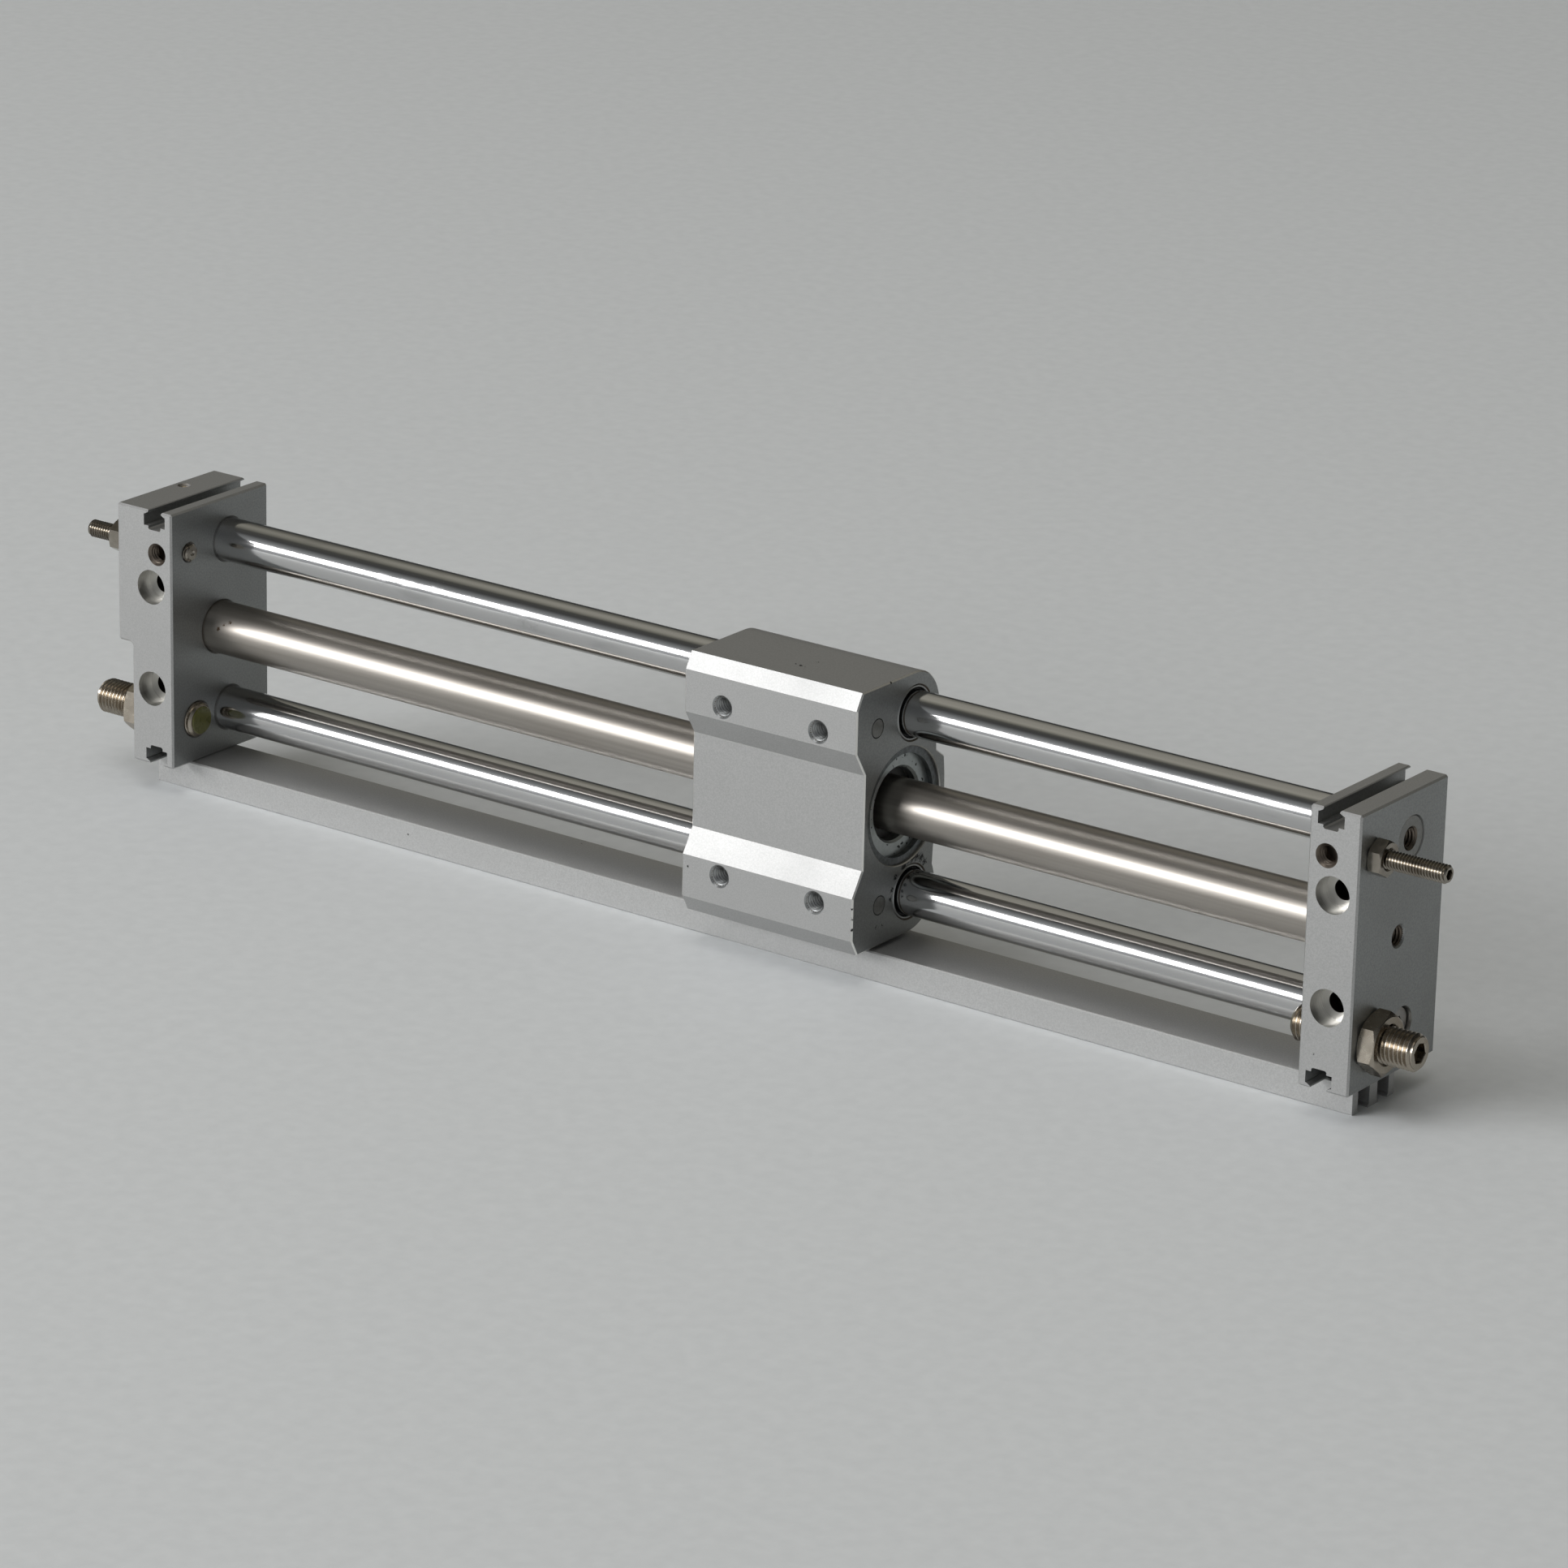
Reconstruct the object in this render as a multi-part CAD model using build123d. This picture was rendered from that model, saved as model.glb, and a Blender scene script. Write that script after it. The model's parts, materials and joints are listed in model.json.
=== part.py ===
from build123d import *
import os
from math import radians, sin, sqrt

os.makedirs("parts", exist_ok=True)

# Lengths are in millimetres. X is the stroke, -Y the mounting side, Z up.
# The origin lies on the floor, under the middle of the whole outline.

# Outline of the frame
plate_gap = 300.0
plate_d = 33.0
left_t = 16.0
low_t = 12.0
step_drop = 2.2
step_r = 1.2
right_t = 12.0
plate_edge = 0.4
rail_h = 6.6

# Tube and guide shafts
tube_od = 12.0
tube_wall = 1.0
shaft_d = 10.0
shaft_dy = 3.0
seat_depth = 8.0
low_seat = 5.0
mouth_cham = 0.4
air_bore_d = 3.2
port_depth = 8.0

# Slider block, measured from the tube axis
slider_len = 45.0
slider_rest = 17.6
slider_gap = 0.9
slider_edge = 0.3
lobe_wall = 3.1
lobe_end = 4.1
front_wall = 1.5
land_step = 3.3
land_z = 16.0
recess_z = 10.6
corner_y = 2.0
corner_z = 3.6
hump_wall = 1.9
hump_z = 7.5
hump_crown = 0.5
hump_foot = 0.9
hump_foot_z = 8.9
back_flare = 0.4
back_z = 9.6

# Clearances
run_gap = 0.05
slide_fit = 0.03
end_gap = 0.2

# Slots along the end plates
slot_x = 4.95
mouth_w = 3.9
mouth_edge = 0.2
lip_tip = 0.5
lip_t = 1.0
lip_rise = 0.9
cavity_w = 6.2
cavity_d = 3.65
keel_w = 3.6
keel_d = 0.85
keel_edge = 0.3

# Switch rail
rail_w = 16.0
rail_y = -1.9
rail_left_over = 10.2
rail_right_over = 9.2
rail_edge = 0.3
groove_dy = 3.7
groove_w = 4.4
groove_mouth = 3.6
groove_lip = 0.8
groove_depth = 5.0

# Stop screws
small_d = 4.0
small_len = 30.0
small_y = -10.4
small_proud = 1.0
small_af = 7.0
small_socket = 2.0
small_end = 0.4
dimple_d = 0.6
large_d = 8.0
large_len = 28.5
large_y = -8.2
left_proud = 1.6
right_proud = 5.5
large_af = 12.0
large_socket = 4.0
large_end = 0.6
bumper_rim = 0.8
bumper_len = 5.0
bumper_proud = 0.3
bumper_edge = 0.2
left_small_nut = 5.0
right_small_nut = 3.2
left_large_nut = 5.0
right_large_nut = 4.0
nut_mouth = 0.4
small_nut_turn = 30
large_nut_turn = 20

# Fixing holes and screws
fix_x = 6.1
fix_drop = 8.0
fix_bore_d = 8.0
fix_bore_depth = 4.5
fix_hole_d = 4.5
front_x = 4.3
front_depth = 3.6
tap_m5 = 4.2
tap_bevel = 0.5
head_d = 7.0
head_h = 4.0
head_play = 0.5
head_bore_depth = 5.0
head_socket = 3.0
head_socket_depth = 2.0
screw_d = 4.0
screw_play = 0.25
screw_grip = 10.0
lock_x = 5.4
lock_d = 4.0
lock_len = 6.0
lock_socket = 2.0
pad_d = 4.4
pad_len = 4.0
pad_edge = 0.25
tap_dx = 25.0
tap_dz = 38.0
tap_depth = 8.0

# Air passage in the thick part of the left plate
end_wall = 1.6
passage_inset = 2.8
passage_d = 2.5
lower_chamber_d = 3.0
ball_d = 3.0
ball_depth = 3.2

# Sealing rings
seal_t = 1.5
seal_groove_w = 1.8
seal_x = 4.0
shaft_seal_t = 1.0
shaft_seal_w = 1.3
shaft_seal_x = 2.2

# Bushings and magnet stack
bush_wall = 1.0
bush_len = 12.0
bush_sink = 0.1
bush_rim = 0.5
bush_dip = 0.8
bush_edge = 0.15
bush_seat_mouth = 0.3
bore_d = 26.0
bore_web = 1.0
bore_mouth = 0.2
ring_inset = 0.7
ring_t = 1.3
ring_seat = 0.5
ring_width = 1.6
ring_gap = 5.6
ring_turn = 67
ear_d = 2.8
ear_hole_d = 1.3
ear_dy = 4.0
spacer_t = 2.5
spacer_gap = 2.0
spacer_mouth = 0.5
wiper_t = 2.3
magnet_t = 6.0
magnet_count = 3
stack_gap = 0.5
core_d = 4.0
core_seat = 4.0
head_len = 7.0
head_edge = 0.5
piston_gap = 0.3
lip_w = 2.5
lip_x = 3.4
lip_depth = 1.45
lip_root = 1.2
lip_edge = 0.3
band_w = 1.5
band_x = 0.9
band_depth = 0.6
nose_rim = 2.2
nose_len = 2.5
nose_sink = 0.5
switch_magnet_d = 4.0
switch_magnet_t = 2.0

# Rail screws and slot bars
rail_screw_d = 2.0
rail_hole_d = 2.2
rail_head_d = 3.6
rail_head_sink = 0.1
rail_socket = 1.3
rail_socket_depth = 0.8
bar_gap = 0.3
bar_t = 2.2
bar_len = 14.0

# Sizes that follow from the ones above
bush_od = shaft_d + 2 * bush_wall
shaft_dz = bore_d / 2 + bore_web + bush_od / 2
lobe_r = bush_od / 2 + lobe_wall
half_h = shaft_dz + lobe_r
plate_h = 2 * (half_h + slider_gap)
tube_bore = tube_od - 2 * tube_wall
ring_groove_d = bore_d + 2 * ring_seat
ring_bore = bore_d - 2 * ring_width
spacer_bore = tube_od + 2 * spacer_gap
stack_bore = tube_od + 2 * stack_gap
piston_d = tube_bore - 2 * piston_gap
lip_root_d = piston_d - 2 * lip_depth
band_root_d = piston_d - 2 * band_depth
nose_d = piston_d - 2 * nose_rim
bumper_d = large_d - 2 * bumper_rim
screw_clear_d = screw_d + 2 * screw_play
head_bore_d = head_d + 2 * head_play
bar_w = cavity_w - 2 * bar_gap
recess_y = bore_d / 2 + front_wall
land_y = recess_y + land_step
hump_y = bore_d / 2 + hump_wall

# Positions that follow
axis_y = (land_y - plate_d / 2) / 2
axis_z = rail_h + plate_h / 2
half_gap = plate_gap / 2
plate_top = rail_h + plate_h
shaft_y = axis_y + shaft_dy
upper_z = axis_z + shaft_dz
lower_z = axis_z - shaft_dz
front_y = axis_y - plate_d / 2
rear_y = axis_y + plate_d / 2
seat_x = half_gap + seat_depth
left_out = half_gap + left_t
low_out = half_gap + low_t
right_out = half_gap + right_t
passage_x = left_out - passage_inset
half_slider = slider_len / 2
ring_out = half_slider - ring_inset
ring_in = ring_out - ring_t
spacer_in = ring_in - spacer_t
stack = spacer_in - wiper_t
yoke_t = (2 * stack - magnet_count * magnet_t) / (magnet_count + 1)


def cyl_x(d, x0, x1, y, z):
    return Pos((x0 + x1) / 2, y, z) * Cylinder(d / 2, abs(x1 - x0), rotation=(0, 90, 0))


def cyl_y(d, y0, y1, x, z):
    return Pos(x, (y0 + y1) / 2, z) * Cylinder(d / 2, abs(y1 - y0), rotation=(90, 0, 0))


def cyl_z(d, z0, z1, x, y):
    return Pos(x, y, (z0 + z1) / 2) * Cylinder(d / 2, abs(z1 - z0))


def block(x0, x1, y0, y1, z0, z1):
    centre = Pos((x0 + x1) / 2, (y0 + y1) / 2, (z0 + z1) / 2)
    return centre * Box(abs(x1 - x0), abs(y1 - y0), abs(z1 - z0))


def turned(points, y, z):
    """A turned shape about an axis along X from (x, radius) points."""
    outline = make_face(Polyline(*[(x, 0, r) for x, r in points], close=True))
    return Pos(0, y, z) * revolve(outline, axis=Axis.X)


def ring_x(od, bore, x0, x1, y, z):
    return turned([(x0, bore / 2), (x1, bore / 2), (x1, od / 2), (x0, od / 2)], y, z)


def bevel_cut(d, depth, x, side, y, z):
    """A conical mouth of the bore d in a face at x that looks along side."""
    far = x + side
    near = x - side * depth
    r = d / 2
    points = [(near, 0), (near, r), (far, r + depth + 1), (far, 0)]
    return turned(points, y, z)


def hex_x(af, x0, x1, y, z, turn=0):
    sketch = Plane.YZ.offset(min(x0, x1)) * Pos(y, z) * RegularPolygon(af / sqrt(3), 6, rotation=turn)
    return extrude(sketch, amount=abs(x1 - x0))


def save(name, shape):
    if isinstance(shape, list):
        shape = Compound(children=shape)
    export_step(shape, f"parts/{name}.step")


def slot_face(x, z, inward):
    """The T shape of a plate slot that opens at height z and runs inward."""
    m = mouth_w / 2
    e = mouth_edge
    c = cavity_w / 2
    k = keel_w / 2
    half = [(m + e, -1), (m + e, 0), (m, e), (m, lip_tip), (m + lip_rise, lip_t), (c, lip_t)]
    floor = cavity_d + keel_d
    half += [(c, cavity_d), (k, cavity_d), (k, floor - keel_edge), (k - keel_edge, floor)]
    right = [(x + u, z + inward * v) for u, v in half]
    left = [(x - u, z + inward * v) for u, v in reversed(half)]
    return make_face(Plane.XZ * Polyline(*right, *left, close=True))


def plate_body(outline, slot, inner_corners=()):
    """A bevelled plate with a slot along its top and its bottom."""
    face = make_face(Plane.XZ * Polyline(*outline, close=True))
    for x, z in inner_corners:
        corner = face.vertices().sort_by_distance((x, 0, z))[0]
        face = fillet(corner, step_r)
    body = extrude(face, amount=plate_d / 2, both=True)
    body = chamfer(outer_edges(body, inner_corners), plate_edge)
    slots = slot_face(slot, plate_top, -1) + slot_face(slot, rail_h, 1)
    body -= extrude(slots, amount=plate_d, both=True)
    return Pos(0, axis_y, 0) * body


def outer_edges(body, inner_corners):
    """The edges of a plate apart from those that run along an inner corner."""
    kept = []
    for edge in body.edges():
        middle = edge @ 0.5
        near = 2 * step_r
        inner = any(abs(middle.X - x) < near and abs(middle.Z - z) < near for x, z in inner_corners)
        if not (inner and abs((edge % 0.5).Y) > 0.9):
            kept.append(edge)
    return kept


def fixing_holes(side):
    """The two counterbored holes through a plate."""
    x = side * (half_gap + fix_x)
    cuts = []
    for dz in (fix_drop - shaft_dz, shaft_dz - fix_drop):
        cuts.append(cyl_y(fix_hole_d, front_y - 1, rear_y + 1, x, axis_z + dz))
        cuts.append(cyl_y(fix_bore_d, front_y - 1, front_y + fix_bore_depth, x, axis_z + dz))
    return cuts


def front_tapping(side):
    """The blind tapped hole in the front of a plate with its bevelled mouth."""
    x = side * (half_gap + front_x)
    cuts = [cyl_y(tap_m5, front_y - 1, front_y + front_depth, x, upper_z)]
    cuts.append(tap_cone(x, front_y, upper_z))
    return cuts


def tap_cone(x, y, z):
    """The bevelled mouth of a tapped hole in a face that looks to the front."""
    cone = Cone(tap_m5 / 2 + tap_bevel, tap_m5 / 2, tap_bevel, rotation=(-90, 0, 0))
    return Pos(x, y + tap_bevel / 2, z) * cone


def low_face(side):
    """Distance of a plate's lower outer face from the middle."""
    return low_out if side < 0 else right_out


def shared_bores(side, outer_small):
    """Seats and bores that both plates have."""
    face = side * half_gap
    seat = side * seat_x
    cuts = [cyl_x(tube_od, face - side, seat, axis_y, axis_z)]
    cuts.append(bevel_cut(tube_od, mouth_cham, face, -side, axis_y, axis_z))
    cuts.append(cyl_x(shaft_d, face - side, side * (half_gap + low_seat), shaft_y, lower_z))
    for z in (lower_z, upper_z):
        cuts.append(bevel_cut(shaft_d, mouth_cham, face, -side, shaft_y, z))
    out = side * low_face(side)
    cuts.append(cyl_x(screw_clear_d, face, out, shaft_y, lower_z))
    cuts.append(cyl_x(head_bore_d, out - side * head_bore_depth, out + side, shaft_y, lower_z))
    small = small_d + 2 * run_gap
    large = large_d + 2 * run_gap
    small_y_pos = axis_y + small_y
    large_y_pos = axis_y + large_y
    cuts.append(cyl_x(small, face - side, outer_small + side, small_y_pos, upper_z))
    cuts.append(cyl_x(large, face - side, out + side, large_y_pos, lower_z))
    cuts.append(bevel_cut(small, mouth_cham, face, -side, small_y_pos, upper_z))
    cuts.append(bevel_cut(large, mouth_cham, face, -side, large_y_pos, lower_z))
    middle = side * (half_gap + seal_x)
    cuts.append(seal_groove(tube_od, seal_t, seal_groove_w, middle, axis_y, axis_z))
    middle = side * (half_gap + shaft_seal_x)
    cuts.append(seal_groove(shaft_d, shaft_seal_t, shaft_seal_w, middle, shaft_y, upper_z))
    x = side * (half_gap + lock_x)
    cuts.append(cyl_y(lock_d, shaft_y, rear_y + 1, x, upper_z))
    return cuts


def seal_groove(inner_d, section, width, x, y, z):
    return cyl_x(inner_d + 2 * section, x - width / 2, x + width / 2, y, z)


def left_end_plate():
    step = (-low_out, axis_z - step_drop)
    outline = [(-half_gap, rail_h), (-half_gap, plate_top), (-left_out, plate_top), (-left_out, step[1])]
    outline += [step, (-low_out, rail_h)]
    body = plate_body(outline, -half_gap - slot_x, [step])
    cuts = shared_bores(-1, -left_out) + fixing_holes(-1) + front_tapping(-1)
    end = -left_out + end_wall
    cuts.append(cyl_x(shaft_d, -half_gap + 1, -seat_x, shaft_y, upper_z))
    cuts.append(cyl_x(air_bore_d, -half_gap, end, shaft_y, upper_z))
    cuts.append(cyl_x(lower_chamber_d, -half_gap, end, shaft_y, axis_z))
    cuts.append(cyl_z(passage_d, axis_z, plate_top + 1, -passage_x, shaft_y))
    cuts.append(cyl_z(ball_d, plate_top - ball_depth, plate_top + 1, -passage_x, shaft_y))
    return body - cuts


def right_end_plate():
    outline = [(half_gap, rail_h), (half_gap, plate_top), (right_out, plate_top), (right_out, rail_h)]
    body = plate_body(outline, half_gap + slot_x)
    cuts = shared_bores(1, right_out) + fixing_holes(1) + front_tapping(1)
    cuts.append(cyl_x(shaft_d, half_gap - 1, right_out + 1, shaft_y, upper_z))
    cuts.append(cyl_x(tap_m5, half_gap, right_out + 1, axis_y, axis_z))
    cuts.append(bevel_cut(tap_m5, tap_bevel, right_out, 1, axis_y, axis_z))
    return body - cuts


def cylinder_tube():
    return ring_x(tube_od, tube_bore, -seat_x, seat_x, axis_y, axis_z)


def upper_guide_shaft():
    """The hollow shaft that also carries air to the left end."""
    r = shaft_d / 2
    c = mouth_cham
    end = right_out - end_gap
    b = air_bore_d / 2
    tap = tap_m5 / 2
    points = [(-seat_x, b), (end - port_depth, b), (end - port_depth, tap), (end - tap_bevel, tap)]
    points += [(end, tap + tap_bevel), (end, r - c), (end - c, r)]
    points += [(-seat_x + c, r), (-seat_x, r - c)]
    return turned(points, shaft_y, upper_z)


def lower_guide_shaft():
    end = half_gap + low_seat
    r = shaft_d / 2
    c = mouth_cham
    points = [(-end, 0), (end, 0), (end, r - c), (end - c, r), (-end + c, r), (-end, r - c)]
    shape = turned(points, shaft_y, lower_z)
    for s in (-1, 1):
        inner = low_face(s) - head_bore_depth - screw_grip
        shape -= cyl_x(screw_d, s * inner, s * (end + 1), shaft_y, lower_z)
    return shape


def lower_shaft_screw(side):
    seat = side * (low_face(side) - head_bore_depth)
    top = seat + side * head_h
    shape = cyl_x(head_d, seat, top, shaft_y, lower_z)
    shape += cyl_x(screw_d, seat - side * screw_grip, seat, shaft_y, lower_z)
    return shape - hex_x(head_socket, top - side * head_socket_depth, top, shaft_y, lower_z)


def shaft_lock_screw(side):
    x = side * (half_gap + lock_x)
    start = shaft_y + shaft_d / 2
    shape = cyl_y(lock_d, start, start + lock_len, x, upper_z)
    socket = Plane.XZ.offset(-(start + lock_len)) * Pos(x, upper_z) * RegularPolygon(lock_socket / sqrt(3), 6)
    return shape - extrude(socket, amount=lock_socket)


def passage_ball():
    z = plate_top - ball_depth + ball_d / 2
    return Pos(-passage_x, shaft_y, z) * Sphere(ball_d / 2)


def seal_ring(inner_d, section, x, y, z):
    return Pos(x, y, z) * Torus((inner_d + section) / 2, section / 2, rotation=(0, 90, 0))


def groove_face(y):
    m = groove_mouth / 2
    w = groove_w / 2
    half = [(m, -1), (m, groove_lip / 2), (w, groove_lip), (w, groove_depth)]
    right = [(y + u, v) for u, v in half]
    left = [(y - u, v) for u, v in reversed(half)]
    return make_face(Plane.YZ * Polyline(*right, *left, close=True))


def rail_screw_spots():
    return [(s * (half_gap + slot_x), axis_y + rail_y) for s in (-1, 1)]


def countersink(x, y):
    """The cone of a flush screw head in the underside of the rail."""
    head = rail_head_d / 2
    shank = rail_screw_d / 2
    depth = head - shank
    return Pos(x, y, rail_head_sink + depth / 2) * Cone(head, shank, depth)


def switch_rail():
    y = axis_y + rail_y
    left = -half_gap - rail_left_over
    right = half_gap + rail_right_over
    body = block(left, right, y - rail_w / 2, y + rail_w / 2, 0, rail_h)
    body = chamfer(body.edges().filter_by(Axis.X), rail_edge)
    for t in (-1, 1):
        groove = extrude(groove_face(y + t * groove_dy), amount=plate_gap, both=True)
        body -= groove
    for x, v in rail_screw_spots():
        body -= cyl_z(rail_hole_d, 0, rail_h + 1, x, v)
        body -= countersink(x, v)
        body -= cyl_z(rail_head_d, -1, rail_head_sink, x, v)
    return body


def rail_screw(x, y):
    top = rail_h + lip_t + bar_t
    shape = cyl_z(rail_screw_d, rail_head_sink, top, x, y) + countersink(x, y)
    socket = Pos(x, y, rail_head_sink) * RegularPolygon(rail_socket / sqrt(3), 6)
    return shape - extrude(socket, amount=rail_socket_depth)


def rail_slot_bar(side):
    x = side * (half_gap + slot_x)
    y = axis_y + rail_y
    z = rail_h + lip_t
    shape = block(x - bar_w / 2, x + bar_w / 2, y - bar_len / 2, y + bar_len / 2, z, z + bar_t)
    return shape - [cyl_z(rail_screw_d, z - 1, z + bar_t + 1, u, v) for u, v in rail_screw_spots()]


def small_stop_screw(side):
    tip = side * (half_gap - small_proud)
    end = tip + side * small_len
    y = axis_y + small_y
    r = small_d / 2
    c = small_end
    points = [(tip, 0), (tip, r - c), (tip + side * c, r), (end - side * c, r), (end, r - c), (end, 0)]
    shape = turned(points, y, upper_z)
    shape -= hex_x(small_socket, end - side * small_socket, end, y, upper_z)
    return shape - bevel_cut(dimple_d, dimple_d, tip, -side, y, upper_z)


def large_stop_screw(side, proud):
    tip = side * (half_gap - proud + bumper_proud)
    end = tip + side * large_len
    y = axis_y + large_y
    r = large_d / 2
    c = large_end
    points = [(tip, 0), (tip, r - c / 2), (tip + side * c / 2, r), (end - side * c, r)]
    points += [(end, r - c), (end, 0)]
    shape = turned(points, y, lower_z)
    shape -= hex_x(large_socket, end - side * large_socket, end, y, lower_z, turn=30)
    return shape - cyl_x(bumper_d, tip - side, tip + side * bumper_len, y, lower_z)


def bumper(side, proud):
    face = side * (half_gap - proud)
    back = face + side * (bumper_len + bumper_proud)
    r = bumper_d / 2
    c = bumper_edge
    points = [(back, 0), (back, r), (face + side * c, r), (face, r - c), (face, 0)]
    return turned(points, axis_y + large_y, lower_z)


def lock_nut(side, face, thick, bolt_d, af, dy, z, turn):
    """A hexagon nut with both rims bevelled, lying on a plate face."""
    y = axis_y + dy
    outer = side * (face + thick)
    inner = side * face
    corner = af / sqrt(3)
    c = 1.2 * (corner - af / 2)
    b = 0.6 * c
    drum = turned(
        [(inner, 0), (inner, corner - c), (inner + side * b, corner), (outer - side * b, corner),
         (outer, corner - c), (outer, 0)], y, z)
    shape = hex_x(af, inner, outer, y, z, turn) & drum
    hole = bolt_d + 2 * run_gap
    shape -= cyl_x(hole, inner - side, outer + side, y, z)
    return shape - bevel_cut(hole, nut_mouth, outer, side, y, z)


def slider_face():
    """The slider's outline: flanges in front, a lobe about each shaft and a hump between."""
    diagonal = lobe_r * sin(radians(45))
    neck_y = shaft_dy + sqrt(lobe_r ** 2 - lobe_end ** 2)
    back_y = neck_y + back_flare
    top = (shaft_dy, half_h)
    corner = (corner_y - land_y, half_h)
    front = [corner, (-land_y, half_h - corner_z), (-land_y, land_z), (-recess_y, recess_z)]
    lobe = (shaft_dy + diagonal, shaft_dz + diagonal)
    neck = (neck_y, shaft_dz - lobe_end)
    crown = (hump_y - hump_crown, hump_z)
    flank = [neck, (back_y, back_z), (back_y + hump_foot, hump_foot_z), crown]
    with BuildSketch(Plane.YZ) as sketch:
        with BuildLine():
            Polyline(top, *front, *lowered(front), *lowered([top]))
            ThreePointArc(*lowered([neck, lobe, top]))
            Polyline(*lowered(flank))
            ThreePointArc(*lowered([crown]), (hump_y, 0), crown)
            Polyline(*flank)
            ThreePointArc(neck, lobe, top)
        make_face()
    return sketch.sketch


def lowered(points):
    """The same points mirrored below the axis, last one first."""
    return [(y, -z) for y, z in reversed(points)]


def pad_spots():
    """Places of the contact pads in the slider ends: (y, z)."""
    return [(axis_y + small_y, upper_z), (axis_y + large_y, lower_z)]


def switch_magnet_spots():
    return [axis_y + rail_y - groove_dy, axis_y + rail_y + groove_dy]


def slider_block():
    body = extrude(slider_face(), amount=half_slider, both=True)
    body = chamfer(body.faces().filter_by(Axis.X).edges(), slider_edge)
    body = Pos(slider_rest, axis_y, axis_z) * body
    x0 = slider_rest - half_slider
    x1 = slider_rest + half_slider
    cuts = [cyl_x(bore_d, x0 - 1, x1 + 1, axis_y, axis_z)]
    for z in (upper_z, lower_z):
        cuts.append(cyl_x(bush_od, x0 - 1, x1 + 1, shaft_y, z))
    for x, side in ((x0, -1), (x1, 1)):
        cuts.append(bevel_cut(bore_d, bore_mouth, x, side, axis_y, axis_z))
        outer = slider_rest + side * ring_out
        inner = slider_rest + side * ring_in
        cuts.append(cyl_x(ring_groove_d, inner, outer, axis_y, axis_z))
        for z in (upper_z, lower_z):
            cuts.append(bevel_cut(bush_od, bush_seat_mouth, x, side, shaft_y, z))
        for y, z in pad_spots():
            cuts.append(cyl_x(pad_d, x + side, x - side * pad_len, y, z))
    face = axis_y - land_y
    for sx in (-1, 1):
        for sz in (-1, 1):
            x = slider_rest + sx * tap_dx / 2
            z = axis_z + sz * tap_dz / 2
            cuts.append(cyl_y(tap_m5, face - 1, face + tap_depth, x, z))
            cuts.append(tap_cone(x, face, z))
    low = axis_z - half_h
    for y in switch_magnet_spots():
        cuts.append(cyl_z(switch_magnet_d, low - 1, low + switch_magnet_t, slider_rest, y))
    return body - cuts


def guide_bushing(side, z):
    """A sleeve with a raised rim round the shaft at its outer end."""
    outer = slider_rest + side * (half_slider - bush_sink)
    inner = outer - side * bush_len
    dip = outer - side * bush_dip
    r = shaft_d / 2 + slide_fit
    R = bush_od / 2
    c = bush_edge
    points = [(inner, r), (dip, r), (dip, R - bush_rim), (outer - side * c, R - bush_rim)]
    points += [(outer, R - bush_rim + c), (outer, R - c), (outer - side * c, R), (inner, R)]
    return turned(points, shaft_y, z)


def retaining_ring(side):
    """An open spring ring with two eyes, turned so that they look down and back."""
    outer = slider_rest + side * ring_out
    inner = slider_rest + side * ring_in
    shape = ring_x(ring_groove_d, ring_bore, inner, outer, axis_y, axis_z)
    half = ring_gap / 2
    shape -= block(inner - side, outer + side, axis_y - half, axis_y + half, axis_z - ring_groove_d, axis_z)
    for t in (-1, 1):
        y = axis_y + t * ear_dy
        z = axis_z - ring_bore / 2
        shape += cyl_x(ear_d, inner, outer, y, z)
        shape -= cyl_x(ear_hole_d, inner - side, outer + side, y, z)
    return shape.rotate(Axis((0, axis_y, axis_z), (1, 0, 0)), ring_turn)


def end_spacer(side):
    outer = slider_rest + side * ring_in
    inner = slider_rest + side * spacer_in
    r = spacer_bore / 2
    R = bore_d / 2
    c = spacer_mouth
    points = [(inner, r), (outer - side * c, r), (outer, r + c), (outer, R), (inner, R)]
    return turned(points, axis_y, axis_z)


def tube_wiper(side):
    outer = slider_rest + side * spacer_in
    inner = slider_rest + side * stack
    return ring_x(bore_d, tube_od + 2 * run_gap, inner, outer, axis_y, axis_z)


def stack_starts():
    """Left faces of the yokes and of the magnets, from the middle of the stack."""
    pitch = yoke_t + magnet_t
    yokes = [-stack + i * pitch for i in range(magnet_count + 1)]
    magnets = [x + yoke_t for x in yokes[:-1]]
    return yokes, magnets


def stack_ring(od, bore, start, thick):
    x = slider_rest + start
    return ring_x(od, bore, x, x + thick, axis_y, axis_z)


def contact_pad(side, y, z):
    face = slider_rest + side * half_slider
    back = face - side * pad_len
    r = pad_d / 2
    c = pad_edge
    return turned([(back, 0), (back, r), (face - side * c, r), (face, r - c), (face, 0)], y, z)


def switch_magnet(y):
    low = axis_z - half_h
    return cyl_z(switch_magnet_d, low, low + switch_magnet_t, slider_rest, y)


def piston_core():
    half = stack + core_seat
    return cyl_x(core_d, slider_rest - half, slider_rest + half, axis_y, axis_z)


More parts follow.
